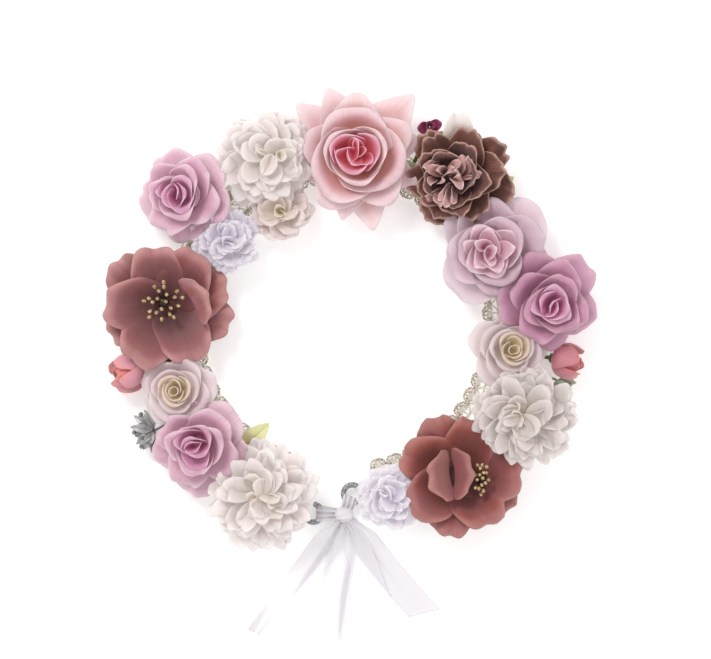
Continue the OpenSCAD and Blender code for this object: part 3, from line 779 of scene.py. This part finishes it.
def stamens(name, half, count, shift, reach, squeeze, seed):
    rng = dice(seed)
    centre = head_place(name, half)[0] + [*shift, 0]
    parts = []
    for i in range(count):
        angle = 2.4 * i + rng.uniform(-0.2, 0.2)
        out = reach * sqrt((i + 0.7) / count)
        foot = centre + [0.8 * cos(angle), 0.8 * sin(angle), 8]
        tip = centre + [squeeze * out * cos(angle), out * sin(angle),
                        16.5 - 0.22 * out + rng.uniform(-1, 1)]
        thread, turn = stalk(foot, tip, 0.22, along=0)
        parts += [thread, bead(tip, [1, 1, 1.35], 1, turn)]
    parts.append(bead(centre + [0, 0, 7.5], [3.2, 3.2, 3], along=0))
    finish_piece(join(parts, f"{name}_tuft"), gold, BODY[half], [f"{name}_stamens"])


gold = stamen_finish()
stamens("dusty_flower_right", "right", 18, (10.5, -1.5), 8.5, 0.5, 41)
stamens("dusty_flower_left", "left", 22, (-1, 1.5), 10.5, 1, 42)


# %% Broad petals and the upright ones
def open_flower(name, half, silk_key, full, back, front, fold, seed):
    """fold is (shift, facings, height) of the petals that stand inside. Each facing is (angle, reach,
    half length, layer, how far along its shade starts)."""
    rng = dice(seed)
    centre = head_place(name, half)[0]
    petals = Bunch(f"{name}_silk")
    grow(petals, rng, centre, full,
         [whorl(len(back), full, 7, 0.05, angles=back, roll=1.6, half=full * 0.52, rounding=0.4,
                ruffle=1.8, waves=3, cells=14, foot_z=0.5, spread=1.4, jitter=5, vary=0.06, power=3),
          whorl(len(front), full * 0.9, 15, 0.38, angles=front, roll=3.6, half=full * 0.53,
                rounding=0.45, ruffle=1.6, waves=2.2, cells=14, foot_z=3, spread=0.95, jitter=6,
                side_roll=3, hop=2, power=2.8, vary=0.08)],
         pivot=6)
    shift, facing, height = fold
    grow(petals, rng, centre + [*shift, 0], full,
         [whorl(1, reach, height, 0.3, angles=[angle], half=long, roll=1.6, rounding=0.5, ruffle=1.7,
                waves=2.6, cells=14, foot=0.6, foot_z=height - 7, least=26, jitter=4, layer=layer,
                vary=0.1, power=2.6, along_from=along_from)
          for angle, reach, long, layer, along_from in facing])
    petals.done(silks[silk_key], BODY[half], [f"{name}_petals"])


open_flower("dusty_flower_right", "right", "dusty_right", 29.5, [30, 112, 255, 330],
            [358, 75, 152, 217, 298],
            ((-4, 0), [(186, 11.5, 13.5, 0.25, 0.4), (3, 8.5, 13, 0.9, 0.45)], 19), 51)
open_flower("dusty_flower_left", "left", "dusty_left", 31, [20, 138, 270, 345, 205],
            [50, 108, 175, 238, 302], ((13, 1.5), [(28, 9, 14.5, 0, 0.6)], 19), 52)
print("open flowers grown")


# %% [markdown]
# ## Buds, leaves and sprigs
# A coral bud is three closed petals under four looser ones, lying on its side by its green calyx.
# Leaves and sprig blades come from the same blank, with a pointed outline and a pressed midrib.

# %% Buds
def bud(name, body, silk_key, size, outward, rise, seed):
    """Closed inner petals, and looser outer ones with their rims turned back."""
    low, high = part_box(f"{name}_petals")
    centre = (np.array(low) + np.array(high)) / 2 / MM
    rng = dice(seed)
    bunch = Bunch(f"{name}_silk")
    closed = [(0.15, -0.85), (0.7, -0.6), (0.9, 0.1), (0.7, 0.75), (0.35, 1.1), (0.3, 1.2)]
    loose = [(0.15, -0.9), (0.85, -0.65), (1.12, 0), (1.02, 0.6), (0.8, 0.95), (0.74, 1.1)]
    for i in range(7):
        keys = closed if i < 3 else loose
        grown = 0.85 + 0.04 * i
        shape = [(r * size * grown, z * size * grown) for r, z in keys]
        points = petal_points(rng, BLANKS[14], shape, size * (1.5 if i < 3 else 1.1), rounding=0.5,
                              power=1.8, spiral=0.12, foot=0.4, ruffle=0.6, side_roll=0.8)
        spun = placed(points, 65 + (120 * i if i < 3 else 90 * i), (0, 0, 0), (0, 0), 0)
        aim = placed(spun, 0, centre, (outward, 90 - rise), 0)
        bunch.add(BLANKS[14], aim, rng.uniform(), 0.3 if i < 3 else 1)
    bunch.done(silks[silk_key], body, [f"{name}_petals"])


bud("coral_bud_right", "coral_bud_right", "coral_deep", 7.6, -9.5, 20, 61)
bud("coral_bud_left", "coral_bud_left", "coral", 8, 193, 30, 62)
low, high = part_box("magenta_bud_petals")
magenta = Bunch("magenta_bud_silk")
grow(magenta, dice(63), np.append((np.array(low) + np.array(high))[:2] / 2, low[2]) / MM, 6,
     [whorl(2, 5.6, 7, 0.25, angles=[8, 185], half=3.6, foot_z=2.5, roll=0.6, foot=0.6, ruffle=0.4,
            spread=1.2),
      whorl(3, 2.2, 7.5, 0.4, half=2.6, foot_z=2.5, roll=0.5, foot=0.9)])
magenta.done(silks["magenta"], "band_right", ["magenta_bud_petals"])


# %% Leaf and sprig finishes
def leaf_finish(name, base, light, dark, rough, metallic=0):
    f = Finish(name, rough=rough, metallic=metallic)
    along, across = f.petal()[:2]
    side = f.wave(f.join(along * 3 + across * 1.2, across), 3, 0.6)
    rib = 1 - f.step((across - 0.5) ** 2, 0, 0.004)
    mottled = f.mix(f.noise(f.place(), 260, 3), base, light)
    f.colour(f.mix(rib * 0.5 + f.step(side, 0.8, 1) * 0.3, mottled, dark))
    f.bump(side * 0.4 + f.noise(f.place(), 1500) * 0.4 - rib, 0.35)
    return f.material


green_leaf = leaf_finish("leaf_green", "d5d596", "e8e8b8", "a9ad66", 0.55)
silver = leaf_finish("silver_leaf", "6c7070", "d6d9d8", "2c2f2e", 0.3, 0.35)
sage = leaf_finish("grey_green", "9aa58d", "c3cbb6", "5d664f", 0.5)


# %% Blades on wires
LEAF_T = 0.4


def blade_points(blank, foot, direction, rise, length, width, cup, arch):
    """A pointed leaf from its foot (mm), with a pressed midrib."""
    u, v = blank["u"], blank["v"]
    wide = (np.sin(np.pi * np.clip(v, 0, 1) ** 0.85) ** 0.8 + 0.02) * width / 2
    midrib = 0.12 * (1 - np.minimum(np.abs(u) * 6, 1))
    z = cup * np.abs(u) * wide + arch * np.sin(np.pi * v) - midrib
    points = np.stack([length * v, wide * u, z], axis=1)
    turn = Matrix.Rotation(radians(direction), 3, "Z") @ Matrix.Rotation(radians(-rise), 3, "Y")
    return points @ np.array(turn).T + foot


def polar(angle, reach, height=0):
    a = radians(angle)
    return np.array([reach * cos(a), reach * sin(a), height])


def sprig(node, body, material, foot, hub, blades, length, width, berry, seed):
    rng = dice(seed)
    bunch = Bunch(f"{node}_spray")
    extra = [stalk(foot, hub, 0.7)[0]]
    for i, angle in enumerate(blades):
        base = hub + polar(angle, 1.2, 0.8 * (i % 3))
        blade = blade_points(BLANKS[9], base, angle, 8 - 8 * (i % 2), length * rng.uniform(0.8, 1.1),
                             width * rng.uniform(0.85, 1.15), 0.35, 1)
        bunch.add(BLANKS[9], blade, rng.uniform(), 0.5)
    for i, angle in enumerate(blades[:-1]):
        tip = hub + polar(angle + 14, length * (0.62 if i % 2 else 0.88), berry * 1.3)
        extra += [stalk(hub, tip, 0.3)[0], bead(tip, [berry * 0.8, berry * 0.8, berry * 1.2])]
    leaves = join(bunch.parts, bunch.name)
    thicken(leaves, LEAF_T)
    finish_piece(join([leaves] + extra, f"{node}_spray"), material, body, [node])


WIRE_Z = 3.85
sprig("silver_sprig_leaves", "silver_sprig", silver, polar(209.7, 91.2, WIRE_Z),
      polar(209.7, 111.4, 6.85), [118, 146, 172, 196, 216, 238, 262, 290], 12.5, 5, 1.6, 71)
sprig("green_sprig_berries", "green_sprig", sage, polar(-14.8, 91.2, WIRE_Z),
      polar(-14.8, 113.5, 4.85), [-100, -60, -35, -10], 9, 4, 1.5, 72)


# %% Yellow-green silk leaves
def leaf_spray(node, body, leaves):
    bunch = Bunch(f"{node}_silk")
    for foot_angle, reach, direction, lift in leaves:
        foot = polar(foot_angle, reach, lift)
        points = blade_points(BLANKS[14], foot, foot_angle + direction, 4, 21, 10, 0.25, 1.4)
        bunch.add(BLANKS[14], points)
    bunch.done(green_leaf, body, [node], thickness=LEAF_T)


leaf_spray("leaves_right", "band_right", [(42, 95, -8, 8.8), (-38, 98.5, 12, 8.8)])
leaf_spray("leaves_left", "band_left", [(231, 84.5, 172, 8.8)])


# %% [markdown]
# ## Band, lace and eyes
# The wire, its tape, the cups and stems keep their CAD shapes and get finishes. Lace is open-work,
# so thin cords replace the flat CAD trim: one loop with three small ones for each scallop, a net
# and three rails, with beads sewn on.

# %% Finishes for the kept CAD pieces
def plain(name, base, light, scale, rough, metallic=0, painted_glow=0):
    f = Finish(name, rough=rough, metallic=metallic)
    grain = f.noise(f.place(), scale, 3)
    f.colour(f.mix(f.step(grain, 0.3, 0.7), base, light), painted_glow)
    f.bump(grain, 0.3)
    return f.material


def tape_finish():
    """Crepe tape wound round the wire: slanting overlaps that follow the ring."""
    f = Finish("floral_tape", rough=0.8)
    at = f.place()
    x, y, z = f.split(at)
    angle = f.sock("ShaderNodeMath", 0, {0: y, 1: x}, operation="ARCTAN2")
    lap = f.wave(f.join(angle * 6 + z * 90, 0), 2, 0.4)
    crepe = f.noise(at, 1400, 3)
    base = f.mix(crepe, "a9b68d", "cdd6b4")
    f.colour(f.mix(f.step(lap, 0.75, 1) * 0.5, base, "7d8a61"))
    f.bump(lap * 0.8 + crepe * 0.5, 0.5)
    return f.material


KEPT = {
    "hoop_wire": plain("spring_wire", "8a8c8e", "b9bbbd", 700, 0.3, 0.9),
    "band_wrap": tape_finish(),
    # The eye binding gets a plain near-black finish.
    "eye_binding": plain("black_tape", "0c0c0c", "242424", 900, 0.6),
    "stem_wires": plain("stem_green", "55642f", "74834a", 800, 0.6),
    "calyx_cups": plain("calyx_green", "4c5f2c", "6d8244", 500, 0.55),
}
finishes = {f"{name}_{half}": material for name, material in KEPT.items() for half in BODY}
finishes.update({f"{bud_name}_calyx": KEPT["calyx_cups"]
                 for bud_name in ("coral_bud_right", "coral_bud_left", "magenta_bud")})
for name, material in finishes.items():
    nodes[name].data.materials.clear()
    nodes[name].data.materials.append(material)
print(len(KEPT), "kept finishes")


# %% Cords along paths
def cord_mesh(name, paths, radius, sides):
    """Thin cords along paths of points in mm, as one mesh."""
    curve = bpy.data.curves.new(name, "CURVE")
    curve.dimensions = "3D"
    curve.bevel_depth = radius * MM
    curve.bevel_resolution = sides
    curve.use_fill_caps = True
    for path in paths:
        line = curve.splines.new("POLY")
        line.points.add(len(path) - 1)
        for point, at in zip(line.points, path):
            point.co = (*[c * MM for c in at], 1)
    obj = bpy.data.objects.new(name, curve)
    shelf.link(obj)
    choose(obj)
    bpy.ops.object.convert(target="MESH")
    return bpy.context.object


# %% Lace
SCALLOPS = 54
PITCH = 360 / SCALLOPS
half_pitch = PITCH / 2
LACE_IN, LACE_OUT = 72, 93
INNER_RAIL, MID_RAIL, OUTER_RAIL = 80.5, 84.5, 92.5
SCALLOP_Z, RAIL_Z, BEAD_Z = 0.7, 0.5, 1.25


def arc(radius):
    return [tuple(polar(angle, radius, RAIL_Z)) for angle in (-half_pitch, 0, half_pitch)]


def loop(depth, radius, count, aside=0):
    turns = [2 * pi * i / count for i in range(count + 1)]
    return [(LACE_IN + depth - radius * cos(a), aside + radius * sin(a), SCALLOP_Z)
            for a in turns]


inner, middle, outer = arc(INNER_RAIL), arc(MID_RAIL), arc(OUTER_RAIL)
motif_paths = [loop(4.3, 4, 16), loop(2.1, 1.2, 6), loop(4.2, 1.3, 6, -2), loop(4.2, 1.3, 6, 2),
               inner, middle, outer, [inner[0], middle[1], inner[2]], [middle[1], outer[0]],
               [middle[1], outer[2]], [(LACE_IN + 3.3, 0, SCALLOP_Z), inner[1]]]
motif = cord_mesh("lace_motif", motif_paths, 0.42, sides=0)
shelf.unlink(motif)
tiny_model, tiny_points = pattern(bpy.ops.mesh.primitive_ico_sphere_add, subdivisions=1, radius=1)


def turned_copy(source, angle):
    copy = bpy.data.objects.new(source.name, source.data.copy())
    copy.data.transform(Matrix.Rotation(radians(angle), 4, "Z"))
    shelf.link(copy)
    return copy


sewn = dice(71)
bead_ring = [(LACE_IN + 4.3 - (4.1 + sewn.uniform(-0.5, 0.4)) * cos(a), 4.2 * sin(a), BEAD_Z)
             for a in np.radians(np.linspace(-95, 95, 11))]
bead_ring += [(LACE_IN + 3.6 - 1.9 * cos(a), 2.4 * sin(a) + sewn.uniform(-0.3, 0.3), 1.3)
              for a in np.radians(np.linspace(-110, 110, 6))]
bead_parts = [shaped_copy(tiny_model, tiny_points * sewn.uniform(0.5, 0.85) + at, "bead")
              for at in bead_ring]
bead_motif = join(bead_parts, "bead_motif")
shelf.unlink(bead_motif)

# Painted light: thread and beads glow faintly in their own colours, which lifts them out of the shade.
lace_thread = plain("lace", "dcd6c8", "f4f0e8", 1800, 0.75, painted_glow=0.1)
bead_gold = plain("beads", "9a8c78", "f6f1e8", 700, 0.16, painted_glow=0.05)
BAND_ENDS = {"right": (-79.5, 89.67), "left": (90.33, 251)}
for half, (start, end) in BAND_ENDS.items():
    angles = np.arange(start + half_pitch, end - half_pitch + 0.001, PITCH)
    for source, name, finish, node in ((motif, "lace", lace_thread, "lace_trim"),
                                       (bead_motif, "beads", bead_gold, "lace_beads")):
        whole = join([turned_copy(source, a) for a in angles], f"{name}_{half}")
        finish_piece(whole, finish, BODY[half], [f"{node}_{half}"])

# %% [markdown]
# ## Eyes
# The wire's ends are bent into open loops and covered by a twisted metallic cord. Three strands
# wound round the CAD loop's own circle show that twist as real shape.

# %% Twisted cord over the eye loops, open where each eye's shank leaves it
EYE_R, STRANDS, TWISTS, TWIST_R, STRAND_R = 4.6, 3, 9, 0.72, 0.85
STEPS = 110
BAND_R = 88
EYES = {"right": (polar(-86.9, 88.26), -79.5, 30), "left": (polar(261.1, 99.44), 251, 50)}
metal_cord = plain("eye_metal", "56575a", "c2c3c6", 1500, 0.35, 0.3)


for half, (eye, end_deg, gap) in EYES.items():
    shank = polar(end_deg, BAND_R)
    back = degrees(atan2(shank[1] - eye[1], shank[0] - eye[0]))
    paths = []
    for strand_no in range(STRANDS):
        path = []
        for t in np.linspace(0, 1, STEPS + 1):
            a = radians(back + t * (360 - gap))
            w = 2 * pi * (TWISTS * t + strand_no / STRANDS)
            out = EYE_R + TWIST_R * cos(w)
            path.append((eye[0] + out * cos(a), eye[1] + out * sin(a), WIRE_Z + TWIST_R * sin(w)))
        paths.append(path)
    cord = cord_mesh(f"eye_cord_{half}", paths, STRAND_R, sides=1)
    finish_piece(cord, metal_cord, BODY[half], [f"eye_loop_{half}"])

# %% [markdown]
# ## Organza ribbon
# Sheer ribbon is knotted between the two eyes and falls in four tails. Each tail is gathered in
# pleats at the knot and spreads to its full width. The weave lets the floor shine through, and the
# edges are a denser selvedge.

# %% Organza finish
def organza(name, alpha, edge_alpha, shade):
    f = Finish(name, rough=0.42, sheen=0.3)
    along, across, chance = f.petal()[:3]
    edge = f.step((across - 0.5) * (across - 0.5), 0.215, 0.245)
    crease = f.noise(f.join(across * 2.6, along * 0.7, chance * 5), 1, 1)
    weave = f.noise(f.join(across * 120, along * 500), 1, 1)
    # Painted shade: noise creases darken towards the shade colour; they also raise the alpha as doubled
    # cloth does. The edge is a denser selvedge.
    crease_doubling_and_shade = f.step(crease, 0.52, 0.66)
    f.colour(f.mix(crease_doubling_and_shade * 0.7 + edge * 0.4, "f0edf2", shade))
    f.feed(f.shader.inputs["Alpha"],
           edge * (edge_alpha - alpha) + crease_doubling_and_shade * 0.22 + weave * 0.1 + alpha)
    f.bump(crease * 0.6 + weave * 0.3, 0.3)
    return f.material


ribbon_silk = organza("organza", 0.28, 0.4, "d0cbd4")
lilac_ribbon = organza("organza_doubled", 0.55, 0.85, "bfaebe")
gathered_silk = organza("organza_gathered", 0.7, 0.8, "e8e5e8")
KNOT = np.array([*polar(-89.7, 99)[:2], 5.38])
RIBBON_W, RIBBON_T = 14.5, 0.12


def ribbon_cloth(name, blank, points, chance, body, finish):
    bunch = Bunch(f"{name}_cloth")
    bunch.add(blank, points, chance)
    return bunch.done(finish, body, [name], RIBBON_T, rounded=False)


# %% Tails
TAIL_BLANK = grid_blank(24, 60)
GATHERED_W, TAIL_START, FALL = 7, 3.9, 16


def tail(side, direction, length, level, cut, seed, finish):
    """Flat on the table: gathered at the knot, full width a little further on, cut at a slant."""
    rng = dice(seed)
    u, v = TAIL_BLANK["u"], TAIL_BLANK["v"]
    reach = TAIL_START + length + RIBBON_W / 2 * tan(radians(cut)) * -u
    along = TAIL_START + (reach - TAIL_START) * v
    open_share = smooth(along, TAIL_START, TAIL_START + FALL)
    width = GATHERED_W + (RIBBON_W - GATHERED_W) * open_share
    pleats = (1 - open_share) * 1.5 * np.cos(u * 2 * np.pi)
    waves = open_share * (0.2 * np.sin(along * 0.16 + seed) + 0.15 * np.cos(u * 5 + along * 0.03))
    z = level + 0.5 + (KNOT[2] - 1.5) * (1 - open_share) + pleats + waves
    sway = 0.8 * np.sin(along * 0.05 + rng.uniform(0, 3)) * open_share
    points = placed(np.stack([along, width / 2 * u + sway, z], axis=1), direction, (*KNOT[:2], 0))
    cloth = ribbon_cloth(f"ribbon_tail_{side}", TAIL_BLANK, points, rng.uniform(), f"tail_{side}",
                         finish)


def knot_piece():
    """A ball drawn in at its waist, with ridges where the ribbon is wound tight."""
    obj = fresh(bpy.ops.mesh.primitive_uv_sphere_add, segments=42, ring_count=24, radius=1)
    x, y, z = points_of(obj.data).T
    ridge = 1 + 0.09 * np.cos(9 * np.arctan2(y, x) + 2.2 * z) * (1 - np.abs(z) ** 3)
    round_share = ridge * (0.82 + 0.25 * np.abs(z) ** 1.5)
    shape = np.stack([z * 5, x * round_share * 4.6, y * round_share * 3.3], axis=1)
    obj.data.vertices.foreach_set("co", ((shape + KNOT) * MM).ravel())
    mark(obj.data, ((z + 1) / 2, 0.5, 0.3, 0.5))
    obj.name = "ribbon_knot_gather"
    finish_piece(obj, gathered_silk, "ribbon_knot", ["ribbon_knot"])


knot_piece()
tail("straight", -96, 62, 0, 8, 81, ribbon_silk)
tail("diagonal", -51, 62, 1, -25, 82, lilac_ribbon)
tail("left", -124, 72, 2, 10, 83, ribbon_silk)
tail("right", -68, 70, 3, -10, 84, ribbon_silk)


# %% Strands between the knot and the eyes
STRAND_BLANK = grid_blank(28, 44)
PLEATS, FLOOR_GAP = 3, 0.2


def strand(half, eye):
    """A pleated strand from the knot over the eye's cord, through the eye and back."""
    u, v = STRAND_BLANK["u"], STRAND_BLANK["v"]
    way = eye[:2] - KNOT[:2]
    dist = np.linalg.norm(way)
    way = way / dist
    near = dist - EYE_R
    keys = [(1.5, 1.2), (near * 0.55, 1.6), (near, 3.4), (near + 3.2, 0.6), (near + 2, -2.2),
            (near - 1.5, -3), (near * 0.5, -1.6), (1.5, -0.6)]
    out, lift = spline(keys, v)
    across = (3 + np.sin(np.pi * v) ** 2) * u
    xy = KNOT[:2] + out[:, None] * way + across[:, None] * [-way[1], way[0]]
    z = WIRE_Z + lift + 0.92 * np.sin(u * PLEATS * np.pi)
    points = np.stack([*xy.T, np.maximum(z, FLOOR_GAP)], axis=1)
    name = f"ribbon_strand_{half}"
    cloth = ribbon_cloth(name, STRAND_BLANK, points, 0.4, "band_right" if half == "right" else None,
                         gathered_silk)
    if half == "left":
        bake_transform(cloth)


for half in BODY:
    strand(half, EYES[half][0])

# %% Remove the blanks and spare models
for blank in (*BLANKS.values(), TAIL_BLANK, STRAND_BLANK):
    bpy.data.objects.remove(blank["obj"])
for spare in (bead_model, stalk_model, tiny_model, motif, bead_motif):
    bpy.data.objects.remove(spare)
